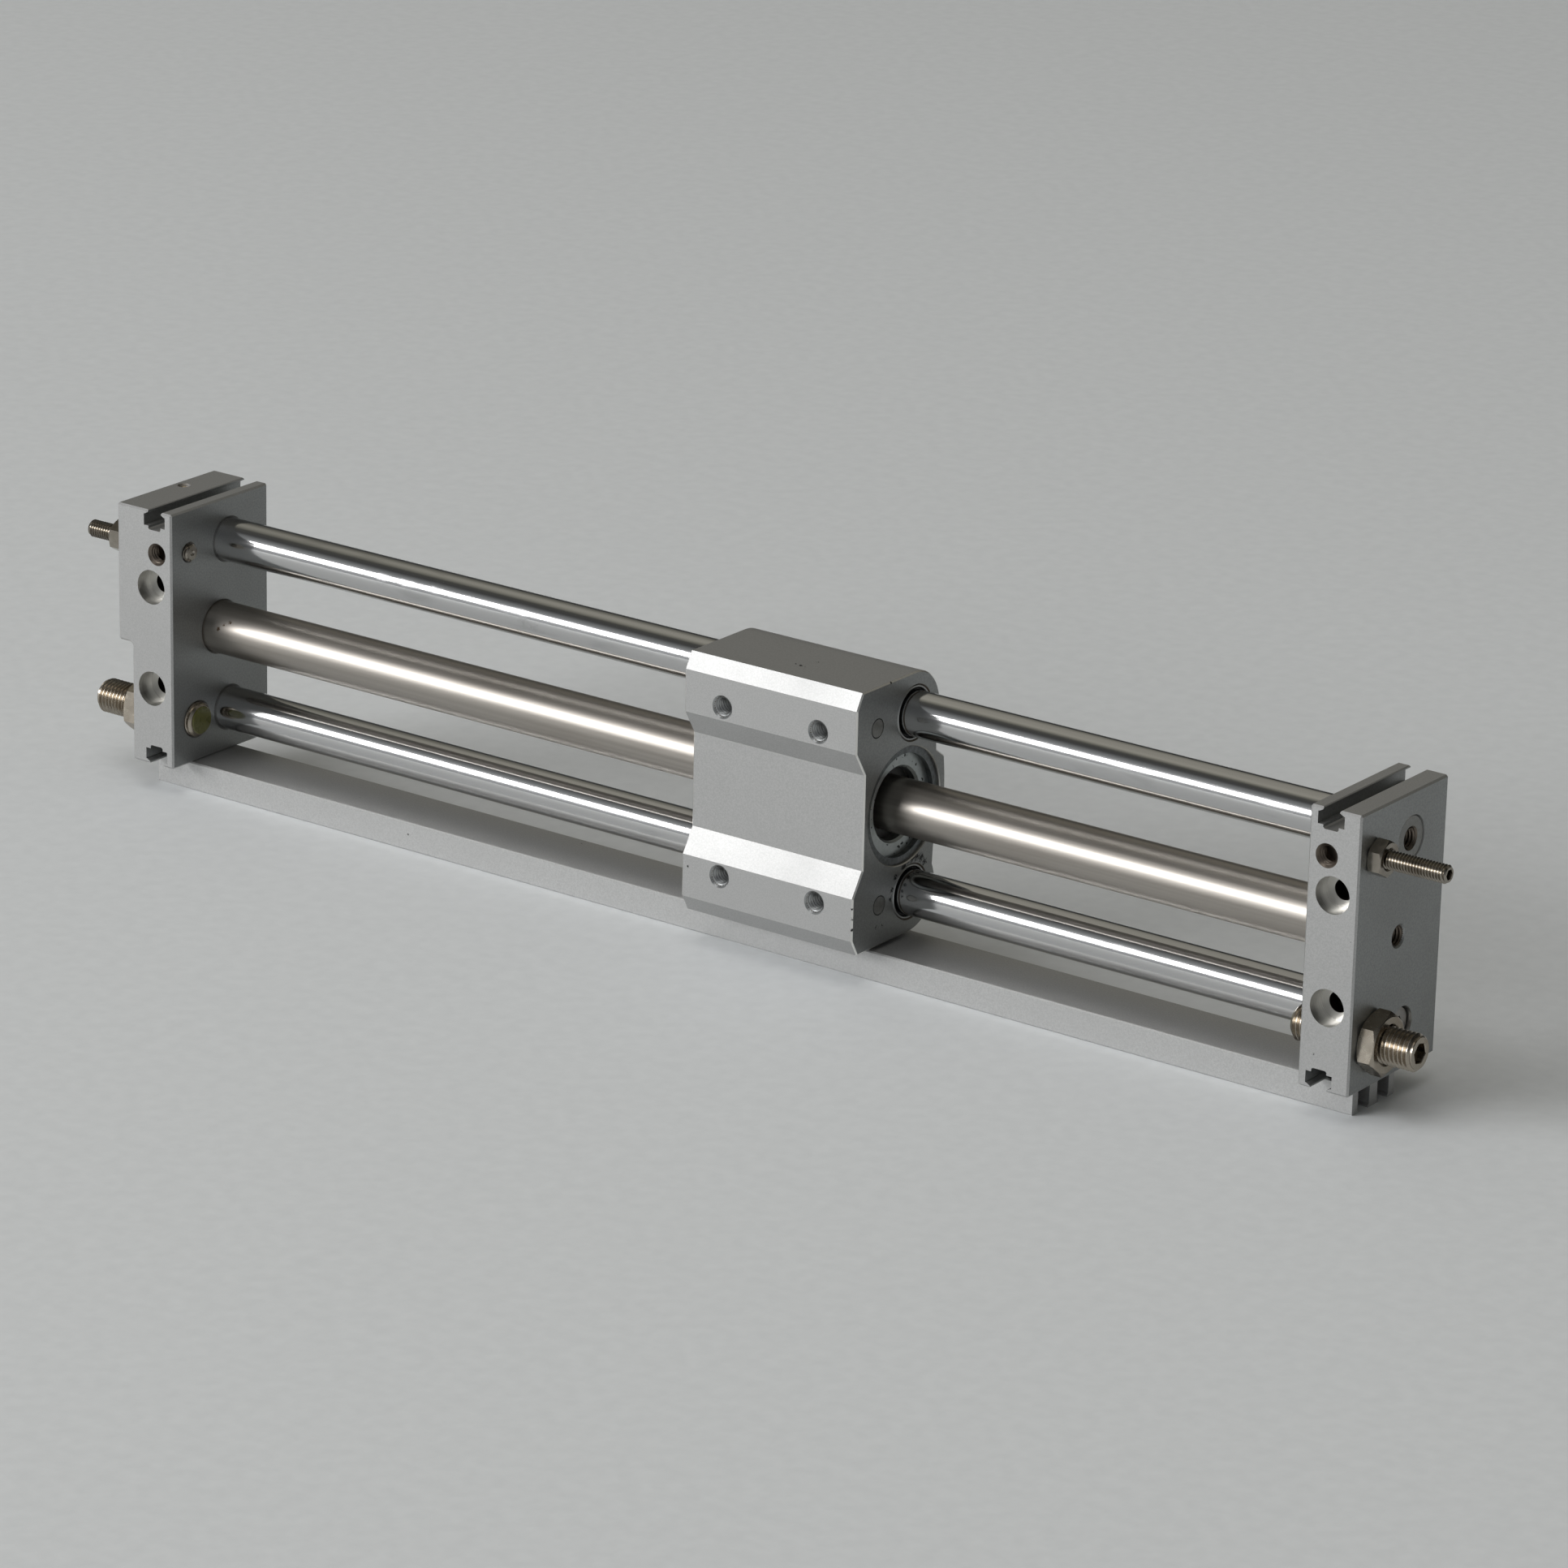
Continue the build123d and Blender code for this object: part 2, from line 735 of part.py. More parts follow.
def piston_head(side):
    """A turned head with grooves for the lip seal and the guide band."""
    s = slider_rest

    def at(u):
        return s + side * (stack + u)

    r = piston_d / 2
    lip = lip_root_d / 2
    band = band_root_d / 2
    nose = nose_d / 2
    core = core_d / 2
    points = [(at(0), core), (at(core_seat), core), (at(core_seat), 0), (at(head_len - nose_sink), 0)]
    points += [(at(head_len - nose_sink), nose), (at(head_len), nose), (at(head_len), r - head_edge)]
    points += [(at(head_len - head_edge), r), (at(lip_x + lip_w), r), (at(lip_x + lip_w), lip)]
    points.append((at(lip_x), lip))
    points += [(at(lip_x), r), (at(band_x + band_w), r), (at(band_x + band_w), band), (at(band_x), band)]
    points += [(at(band_x), r), (at(0), r)]
    return turned(points, axis_y, axis_z)


def lip_seal(side):
    """A cup seal with its open lips towards the tube end."""
    s = slider_rest
    a = s + side * (stack + lip_x)
    b = a + side * lip_w
    low = lip_root_d / 2
    top = tube_bore / 2 - run_gap
    mid = (low + top) / 2
    root = a + side * lip_root
    points = [(a, low), (b, low), (b, low + lip_edge), (root, mid), (b, top - lip_edge)]
    points += [(b, top), (b - side * lip_edge, top), (a, top - lip_edge)]
    return turned(points, axis_y, axis_z)


def guide_band(side):
    a = slider_rest + side * (stack + band_x)
    return ring_x(tube_bore - 2 * run_gap, band_root_d, a, a + side * band_w, axis_y, axis_z)


def piston_nose(side):
    """The rubber buffer on the end of the piston."""
    s = slider_rest
    a = s + side * (stack + head_len - nose_sink)
    b = a + side * nose_len
    r = nose_d / 2
    c = head_edge
    points = [(a, 0), (a, r), (b - side * c, r), (b, r - c), (b, 0)]
    return turned(points, axis_y, axis_z)


def write_frame():
    save("left_end_plate", left_end_plate())
    save("right_end_plate", right_end_plate())
    save("cylinder_tube", cylinder_tube())
    save("upper_guide_shaft", upper_guide_shaft())
    save("lower_guide_shaft", lower_guide_shaft())
    save("switch_rail", switch_rail())
    for name, side in (("left", -1), ("right", 1)):
        x = side * (half_gap + seal_x)
        save(f"{name}_tube_seal", seal_ring(tube_od, seal_t, x, axis_y, axis_z))
        x = side * (half_gap + shaft_seal_x)
        save(f"{name}_shaft_seal", seal_ring(shaft_d, shaft_seal_t, x, shaft_y, upper_z))
        save(f"{name}_rail_slot_bar", rail_slot_bar(side))
    save("lower_shaft_screws", [lower_shaft_screw(s) for s in (-1, 1)])
    save("shaft_lock_screws", [shaft_lock_screw(s) for s in (-1, 1)])
    save("rail_screws", [rail_screw(x, y) for x, y in rail_screw_spots()])
    save("passage_ball", passage_ball())
    small = (small_d, small_af, small_y, upper_z, small_nut_turn)
    large = (large_d, large_af, large_y, lower_z, large_nut_turn)
    save("left_small_lock_nut", lock_nut(-1, left_out, left_small_nut, *small))
    save("right_small_lock_nut", lock_nut(1, right_out, right_small_nut, *small))
    save("left_large_lock_nut", lock_nut(-1, low_out, left_large_nut, *large))
    save("right_large_lock_nut", lock_nut(1, right_out, right_large_nut, *large))


def write_stops():
    for name, side, proud in (("left", -1, left_proud), ("right", 1, right_proud)):
        save(f"{name}_small_stop_screw", small_stop_screw(side))
        save(f"{name}_large_stop_screw", large_stop_screw(side, proud))
        save(f"{name}_bumper", bumper(side, proud))


def write_carriage():
    save("slider_block", slider_block())
    for name, side in (("left", -1), ("right", 1)):
        save(f"upper_{name}_bushing", guide_bushing(side, upper_z))
        save(f"lower_{name}_bushing", guide_bushing(side, lower_z))
        save(f"{name}_retaining_ring", retaining_ring(side))
        save(f"{name}_end_spacer", end_spacer(side))
        save(f"{name}_tube_wiper", tube_wiper(side))
    yokes, magnets = stack_starts()
    for i, start in enumerate(magnets, 1):
        save(f"outer_magnet_{i}", stack_ring(bore_d, stack_bore, start, magnet_t))
    save("outer_yokes", [stack_ring(bore_d, stack_bore, start, yoke_t) for start in yokes])
    save("contact_pads", [contact_pad(s, y, z) for s in (-1, 1) for y, z in pad_spots()])
    front, rear = switch_magnet_spots()
    save("front_switch_magnet", switch_magnet(front))
    save("rear_switch_magnet", switch_magnet(rear))


def write_piston():
    save("piston_core", piston_core())
    yokes, magnets = stack_starts()
    for i, start in enumerate(magnets, 1):
        save(f"inner_magnet_{i}", stack_ring(piston_d, core_d, start, magnet_t))
    save("inner_yokes", [stack_ring(piston_d, core_d, start, yoke_t) for start in yokes])
    for name, side in (("left", -1), ("right", 1)):
        save(f"{name}_piston_head", piston_head(side))
        save(f"{name}_lip_seal", lip_seal(side))
        save(f"{name}_guide_band", guide_band(side))
        save(f"{name}_piston_nose", piston_nose(side))


write_frame()
write_stops()
write_carriage()
write_piston()
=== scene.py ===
import json
import math
from collections import namedtuple

import bmesh
import bpy
from mathutils import Matrix, Vector


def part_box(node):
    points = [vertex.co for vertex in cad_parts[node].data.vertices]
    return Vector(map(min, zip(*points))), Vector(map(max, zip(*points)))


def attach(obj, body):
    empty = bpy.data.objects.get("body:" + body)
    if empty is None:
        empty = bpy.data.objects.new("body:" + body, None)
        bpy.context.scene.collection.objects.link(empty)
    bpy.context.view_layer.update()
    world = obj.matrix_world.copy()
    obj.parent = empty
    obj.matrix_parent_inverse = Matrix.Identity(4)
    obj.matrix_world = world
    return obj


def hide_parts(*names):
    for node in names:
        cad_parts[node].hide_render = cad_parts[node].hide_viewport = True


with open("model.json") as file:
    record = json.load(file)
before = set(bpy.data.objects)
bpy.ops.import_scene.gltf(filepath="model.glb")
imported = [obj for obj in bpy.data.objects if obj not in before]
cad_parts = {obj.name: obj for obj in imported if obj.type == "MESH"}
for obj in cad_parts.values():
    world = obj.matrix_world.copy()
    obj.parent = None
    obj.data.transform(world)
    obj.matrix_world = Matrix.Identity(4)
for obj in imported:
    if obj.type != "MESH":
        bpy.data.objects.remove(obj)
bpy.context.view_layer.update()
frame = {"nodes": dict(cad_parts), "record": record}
nodes = frame["nodes"]
mounts = {mount["name"]: mount for mount in frame["record"]["mounts"]}
MM = 0.001

# The camera: place and sensor in millimetres, angles in degrees, limits in metres, the rest in pixels
CAMERA_PLACE = (812.74, -1103.64, 513.37)
CAMERA_YAW = 36.06
CAMERA_PITCH = -19.32
CAMERA_ROLL = 1.25
CAMERA_FOCUS = 8359.06
IMAGE_SIDE = 1932
SENSOR = 36.0
NEAR_LIMIT = 0.05
FAR_LIMIT = 50.0

# The lamps: direction from the object, distance and size in metres, power in watts
KEY_DIRECTION = (-0.555, -0.75, 0.36)
KEY_DISTANCE = 4.0
KEY_SIZE = (3.0, 1.0)
KEY_POWER = 101.0
OVERHEAD_DIRECTION = (0.05, -0.30, 0.95)
OVERHEAD_DISTANCE = 4.0
OVERHEAD_SIZE = (2.4, 2.4)
OVERHEAD_POWER = 28.0

# The room's brightness along an axis that leans back from overhead: 0 is across it, 1 along it
ROOM_AXIS = (0.0, 0.50, 0.87)
ROOM_STOPS = (
    (0.00, (0.42, 0.43, 0.44)),
    (0.35, (0.24, 0.25, 0.25)),
    (0.50, (0.08, 0.08, 0.08)),
    (0.68, (0.10, 0.10, 0.09)),
    (0.76, (0.34, 0.33, 0.28)),
    (0.82, (0.60, 0.575, 0.50)),
    (1.00, (0.50, 0.48, 0.42)),
)

# The side of the window, and the share of its light that the far side has
WINDOW_SIDE = (-0.72, -0.69, 0.0)
FAR_SIDE_SHARE = 0.22

# Half the side of the floor in metres
FLOOR_HALF = 6.0

# The profile of a thread: shares of the pitch, and of the full depth, at a turn's four corners
THREAD_CORNERS = (0.0, 0.14, 0.50, 0.64)
THREAD_DEPTHS = (0.0, 0.0, 1.0, 1.0)

# The meshes of the threads: sides of a turn, degrees at a sharp edge, millimetres between merged corners
THREAD_SIDES = 32
THREAD_SHARPNESS = 25.0
MERGE_DISTANCE = 0.0005

# Stop screws, in millimetres and degrees; a tip is pairs of a depth and a radius
SMALL_SCREW = {"pitch": 0.7, "bevel": 0.45, "socket_width": 2.0, "socket_depth": 2.0, "socket_turn": 0.0}
LARGE_SCREW = {"pitch": 1.0, "bevel": 0.65, "socket_width": 4.0, "socket_depth": 4.0, "socket_turn": 12.0}
SMALL_TIP = ((0.0, 0.7), (0.35, 0.35))
BUMPER_SEAT_DEPTH = 5.0

# The thread's depth over its pitch, the socket's widened mouth and its drilled point
GROOVE_SHARE = 0.6134
SOCKET_MOUTH_SHARE = 1.06
SOCKET_MOUTH_DEPTH = 0.15
SOCKET_POINT_SHARE = 1.25

# Inner threads, in millimetres
PITCH_TAP = 0.8
RIDGE_HEIGHT = 0.30
RIDGE_FADE = 0.2
SLEEVE_INSIDE = 0.01
SLEEVE_SUNK = 0.02
SHORT_THREAD = 2.6
LONG_THREAD = 6.0

# How far the finishes reach in the holes, in millimetres
RIM = 0.04
BACK_RIM = 0.1
COUNTERBORE_REACH = 4.3
FIXING_REACH = 2.4
FIXING_START = 5.0
RECESS_REACH = 4.2
RECESS_DEPTH = 6.0
TAP_MOUTH = 2.8
MOUTH_DEPTH = 0.40
FRONT_TAPPING_DEPTH = 5.0
TUBE_PORT_DEPTH = 4.0
SHAFT_PORT_START = 0.3
SHAFT_PORT_DEPTH = 9.0
SLIDER_TAPPING_DEPTH = 9.0
SLIDER_BORE_REACH = 13.8
BUSHING_SEAT_REACH = 6.4
LINER_REACH = 5.55
LINER_START = 0.2
LINER_DEPTH = 3.0

# What counts as an end face, as a round side and as the narrow bevel at the slider's ends
END_FACING = 0.99
SIDE_FACING = 0.95
BEVEL_FACING = 0.3
BEVEL_WIDTH = 0.3
BEVEL_OFF_TUBE = 13.9
BEVEL_OFF_SHAFT = 6.6

# Marks of use: place and radius in millimetres
SLIDER_NICKS = (
    ((17.6, -8.5, 65.7), 0.35), ((19.1, -8.6, 65.7), 0.45), ((20.6, -4.5, 65.7), 0.35),
    ((40.1, -5.1, 65.6), 0.40), ((40.1, -17.1, 18.5), 0.40), ((40.1, -17.1, 16.3), 0.45),
    ((40.1, -17.1, 13.8), 0.50), ((-3.2, -17.15, 18.1), 0.35), ((24.4, -16.2, 20.7), 0.25),
)
GREASE_SMEARS = (
    ((40.1, 1.4, 22.9), 1.3), ((40.1, 2.8, 24.3), 1.2), ((40.1, 4.2, 24.2), 1.5),
    ((40.1, 5.8, 23.9), 1.3), ((40.1, 7.4, 23.2), 1.2), ((40.1, 8.8, 21.9), 0.9),
    ((40.1, -1.9, 21.2), 0.8), ((40.1, -2.9, 18.8), 0.7), ((40.1, -3.4, 16.9), 0.8),
    ((40.1, -6.5, 11.7), 0.4), ((40.1, -8.4, 12.2), 0.5),
)
TUBE_MARKS = (((-145.7, -5.1, 38.3), 0.6), ((-142.9, -4.3, 40.1), 0.6), ((-144.4, -4.6, 39.4), 0.4))
SHAFT_SMUDGES = (
    ((-101.0, -1.4, 58.6), 2.5), ((-94.0, -1.3, 59.0), 2.5), ((-86.0, -1.3, 60.0), 3.0),
    ((-81.0, -1.3, 61.5), 2.0), ((-61.0, -1.3, 57.0), 2.0), ((-58.0, -1.3, 56.5), 1.5),
)

# Scale of the noise that frays the edges of the marks
RAGGED_SCALE = 1800.0

Place = namedtuple("Place", ("x", "y", "z"))


def in_mm(place):
    """A place of the frame in millimetres, to a thousandth."""
    return Place(*(round(value / MM, 3) for value in place))


def corners(node):
    """Lowest and highest corner of a node in millimetres."""
    low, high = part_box(node)
    return in_mm(low), in_mm(high)


def middle_line(node):
    """The y and z of the middle line of a piece that runs along X, in millimetres."""
    low, high = corners(node)
    return (low.y + high.y) / 2, (low.z + high.z) / 2


def mount_place(name):
    """The place of a mount in millimetres."""
    return in_mm(mounts[name]["pos_m"])


def hole_pattern(name):
    """The x and z of each of the four holes of a pattern that faces along Y, in millimetres."""
    middle = mount_place(name)
    sizes = mounts[name]["dims"]
    half_x = sizes["spacing_x_mm"] / 2
    half_z = sizes["spacing_y_mm"] / 2
    return [(middle.x + sx * half_x, middle.z + sz * half_z) for sx in (-1, 1) for sz in (-1, 1)]


# Faces, middle lines and tapped holes of the frame, in millimetres
PLATE_LOW, PLATE_HIGH = corners("right_end_plate")
SLIDER_LOW, SLIDER_HIGH = corners("slider_block")
SLIDER_X = (SLIDER_LOW.x + SLIDER_HIGH.x) / 2
SLIDER_HALF = (SLIDER_HIGH.x - SLIDER_LOW.x) / 2
TUBE_AXIS = middle_line("cylinder_tube")
UPPER_AXIS = middle_line("upper_guide_shaft")
LOWER_AXIS = middle_line("lower_guide_shaft")
TAP_RADIUS = mounts["slider_holes"]["dims"]["hole_r_mm"]

# A round hole: the number of its axis, its middle line, the face it opens in and its outward sign
Hole = namedtuple("Hole", ("axis", "centre", "face", "toward"))


def front_hole(spot, face):
    """A hole at an x and z that opens to the front."""
    return Hole(1, spot, face, -1)


def end_hole(spot, face, toward=1):
    """A hole at a y and z that opens to the left or the right."""
    return Hole(0, spot, face, toward)


class Finish:
    """A node material on one Principled shader, with short calls for its textures."""

    def __init__(self, name, constants):
        self.material = bpy.data.materials.new(name)
        self.material.use_nodes = True
        self.tree = self.material.node_tree
        self.shader = self.tree.nodes["Principled BSDF"]
        for socket, value in constants.items():
            self.shader.inputs[socket].default_value = value
        self.place = self.add("ShaderNodeTexCoord").outputs["Object"]

    def add(self, kind, inputs=None, **settings):
        """A new node with its settings and with each input linked or set."""
        node = self.tree.nodes.new(kind)
        for name, value in settings.items():
            setattr(node, name, value)
        for name, value in (inputs or {}).items():
            socket = node.inputs[name]
            if isinstance(value, bpy.types.NodeSocket):
                self.tree.links.new(value, socket)
            else:
                socket.default_value = value
        return node

    def stretched(self, factors):
        return self.add("ShaderNodeMapping", {"Vector": self.place, "Scale": factors}).outputs[0]

    def noise(self, scale, detail, place=None):
        inputs = {"Vector": place or self.place, "Scale": scale, "Detail": detail}
        return self.add("ShaderNodeTexNoise", inputs).outputs[0]

    def spread(self, value, low, high, to_low, to_high):
        """A value between two limits, carried over to two others."""
        names = ("Value", "From Min", "From Max", "To Min", "To Max")
        inputs = dict(zip(names, (value, low, high, to_low, to_high)))
        return self.add("ShaderNodeMapRange", inputs).outputs[0]

    def product(self, a, b):
        return self.add("ShaderNodeMath", {0: a, 1: b}, operation="MULTIPLY").outputs[0]

    def total(self, a, b):
        return self.add("ShaderNodeMath", {0: a, 1: b}, operation="ADD").outputs[0]

    def larger(self, a, b):
        return self.add("ShaderNodeMath", {0: a, 1: b}, operation="MAXIMUM").outputs[0]

    def mixed(self, share, first, second):
        inputs = {"Factor": share, 6: first, 7: second}
        return self.add("ShaderNodeMix", inputs, data_type="RGBA").outputs[2]

    def shaded(self, texture, dark, light, low=0.3, high=0.7):
        """A colour from dark to light as a texture goes from low to high."""
        return self.mixed(self.spread(texture, low, high, 0.0, 1.0), dark, light)

    def spots(self, marks, blur, raggedness):
        """A mask that is 1 in spots about the given places, frayed by up to some millimetres."""
        inputs = {"Vector": self.place, "Scale": RAGGED_SCALE, "Detail": 3.0}
        shift = self.add("ShaderNodeTexNoise", inputs).outputs[1]
        reach = (raggedness * MM,) * 3
        half = tuple(-r / 2 for r in reach)
        inputs = {0: shift, 1: reach, 2: half}
        ragged = self.add("ShaderNodeVectorMath", inputs, operation="MULTIPLY_ADD").outputs[0]
        place = self.add("ShaderNodeVectorMath", {0: self.place, 1: ragged}, operation="ADD").outputs[0]
        mask = None
        for centre, radius in marks:
            inputs = {0: place, 1: tuple(c * MM for c in centre)}
            away = self.add("ShaderNodeVectorMath", inputs, operation="DISTANCE").outputs["Value"]
            spot = self.spread(away, radius * MM, radius * (1 - blur) * MM, 0.0, 1.0)
            mask = spot if mask is None else self.larger(mask, spot)
        return mask

    def wear(self, socket, value):
        self.tree.links.new(value, self.shader.inputs[socket])

    def done(self, tint, roughness, height, strength, depth):
        """The material with its colour, its roughness and bumps of a depth in millimetres."""
        self.wear("Base Color", tint)
        self.wear("Roughness", roughness)
        inputs = {"Height": height, "Strength": strength, "Distance": depth * MM}
        self.wear("Normal", self.add("ShaderNodeBump", inputs).outputs[0])
        return self.material


def rgb(r, g, b):
    return (r, g, b, 1.0)


def grey(level):
    return rgb(level, level, level * 0.99)


def anodised_finish(name="anodised_aluminium", light=0.51, worn=False):
    """Satin blasted and clear anodised aluminium with a fine speckle and a few dark nicks."""
    look = Finish(name, {"Metallic": 0.9, "Specular IOR Level": 0.5})
    speckle = look.noise(3200.0, 3.0)
    cloud = look.noise(35.0, 3.0)
    tint = look.shaded(speckle, grey(light * 0.86), grey(light), 0.35, 0.65)
    tint = look.mixed(look.spread(cloud, 0.4, 0.7, 0.0, 0.35), tint, grey(light * 0.80))
    nick = look.spread(look.noise(420.0, 5.0), 0.745, 0.765, 0.0, 0.8)
    tint = look.mixed(nick, tint, rgb(0.05, 0.05, 0.05))
    if worn:
        tint = look.mixed(look.spots(SLIDER_NICKS, 0.3, 1.2), tint, rgb(0.04, 0.04, 0.04))
        tint = look.mixed(look.spots(GREASE_SMEARS, 0.5, 2.4), tint, rgb(0.02, 0.02, 0.02))
    return look.done(tint, look.spread(cloud, 0.3, 0.7, 0.47, 0.53), speckle, 0.15, 0.02)


def shaded_end_finish(name="shaded_end_anodised_aluminium", worn=False):
    """Anodised aluminium, a little smoother, and darker as painted shade for the faces that look to the
    left and right.
    """
    look = Finish(name, {"Metallic": 0.92, "Specular IOR Level": 0.5})
    speckle = look.noise(2400.0, 3.0)
    cloud = look.noise(45.0, 3.0)
    tint = look.shaded(speckle, rgb(0.29, 0.30, 0.30), rgb(0.36, 0.37, 0.37), 0.35, 0.65)
    tint = look.mixed(look.spread(cloud, 0.4, 0.7, 0.0, 0.35), tint, rgb(0.27, 0.27, 0.26))
    if worn:
        tint = look.mixed(look.spots(SLIDER_NICKS, 0.3, 1.2), tint, rgb(0.04, 0.04, 0.04))
        tint = look.mixed(look.spots(GREASE_SMEARS, 0.6, 2.6), tint, rgb(0.02, 0.02, 0.02))
    return look.done(tint, look.spread(cloud, 0.3, 0.7, 0.40, 0.46), speckle, 0.15, 0.02)


def washer_finish():
    """A lighter flat washer with dark specks of grease."""
    look = Finish("spacer_washer", {"Metallic": 0.9})
    grain = look.noise(900.0, 3.0)
    tint = look.shaded(grain, rgb(0.40, 0.43, 0.43), rgb(0.49, 0.52, 0.52))
    speck = look.spread(look.noise(760.0, 1.0), 0.665, 0.69, 0.0, 0.95)
    tint = look.mixed(speck, tint, rgb(0.02, 0.02, 0.02))
    return look.done(tint, look.spread(grain, 0.3, 0.7, 0.34, 0.42), grain, 0.15, 0.02)


def machined_finish(name, light, dark, worn=False):
    """Cut metal with fine turning marks, as inside bores and on cut edges; its darkest copy is painted
    shade deep in holes, its lightest a painted highlight on the slider's bevel.
    """
    look = Finish(name, {"Metallic": 1.0})
    marks = look.noise(1.0, 2.0, look.stretched((60.0, 4200.0, 60.0)))
    tint = look.shaded(marks, dark, light)
    if worn:
        tint = look.mixed(look.spots(SLIDER_NICKS, 0.3, 1.2), tint, rgb(0.03, 0.03, 0.03))
    return look.done(tint, look.spread(marks, 0.3, 0.7, 0.30, 0.40), marks, 0.25, 0.02)


def chrome_finish(name="hard_chrome", smudged=False):
    """Hard chromed and ground shaft, with dull patches and hairline marks along it."""
    look = Finish(name, {"Metallic": 1.0})
    patch = look.noise(1.0, 4.0, look.stretched((55.0, 260.0, 260.0)))
    patch = look.spread(patch, 0.60, 0.72, 0.0, 0.6)
    if smudged:
        smudges = look.spots(SHAFT_SMUDGES, 0.8, 3.0)
        smudges = look.product(smudges, look.spread(look.noise(900.0, 2.0), 0.4, 0.6, 0.2, 1.0))
        patch = look.total(patch, smudges)
    hair = look.noise(1.0, 3.0, look.stretched((14.0, 2600.0, 2600.0)))
    tint = look.mixed(patch, rgb(0.57, 0.57, 0.57), rgb(0.44, 0.44, 0.44))
    rough = look.total(look.spread(hair, 0.3, 0.7, 0.10, 0.15), look.product(patch, 0.12))
    return look.done(tint, rough, hair, 0.05, 0.01)


def tube_finish():
    """Drawn stainless tube: warm, satin, with streaks along its length."""
    look = Finish("drawn_stainless", {"Metallic": 1.0})
    streak = look.noise(1.0, 4.0, look.stretched((6.0, 900.0, 900.0)))
    stain = look.noise(1.0, 3.0, look.stretched((30.0, 120.0, 120.0)))
    stain = look.product(look.spread(stain, 0.5, 0.75, 0.0, 1.0), 0.35)
    tint = look.shaded(streak, rgb(0.355, 0.33, 0.30), rgb(0.435, 0.405, 0.37))
    tint = look.mixed(stain, tint, rgb(0.30, 0.265, 0.23))
    tint = look.mixed(look.spots(TUBE_MARKS, 0.6, 1.6), tint, rgb(0.10, 0.065, 0.04))
    return look.done(tint, look.spread(streak, 0.3, 0.7, 0.33, 0.40), streak, 0.12, 0.02)


def nickel_finish(name, light, dark, stained, low, high):
    """Nickel plated steel of the stop screws and nuts; its darker copies are painted shade on the small
    screws and nuts and in thread roots.
    """
    look = Finish(name, {"Metallic": 1.0})
    grain = look.noise(700.0, 4.0)
    stain = look.spread(look.noise(160.0, 3.0), 0.45, 0.7, 0.0, 0.5)
    tint = look.mixed(stain, look.shaded(grain, dark, light), stained)
    return look.done(tint, look.spread(grain, 0.3, 0.7, low, high), grain, 0.04, 0.01)


def steel_finish(name, light, dark, low, high):
    """A plain metal with a fine grain."""
    look = Finish(name, {"Metallic": 1.0})
    grain = look.noise(1100.0, 3.0)
    rough = look.spread(grain, 0.3, 0.7, low, high)
    return look.done(look.shaded(grain, dark, light), rough, grain, 0.12, 0.02)


def rubber_finish(name, light, dark, rough, coat=0.0):
    """Rubber or plastic with a fine grain."""
    look = Finish(name, {"Metallic": 0.0, "Coat Weight": coat})
    grain = look.noise(700.0, 4.0)
    rough = look.spread(grain, 0.3, 0.7, rough - 0.08, rough + 0.08)
    return look.done(look.shaded(grain, dark, light), rough, grain, 0.2, 0.03)


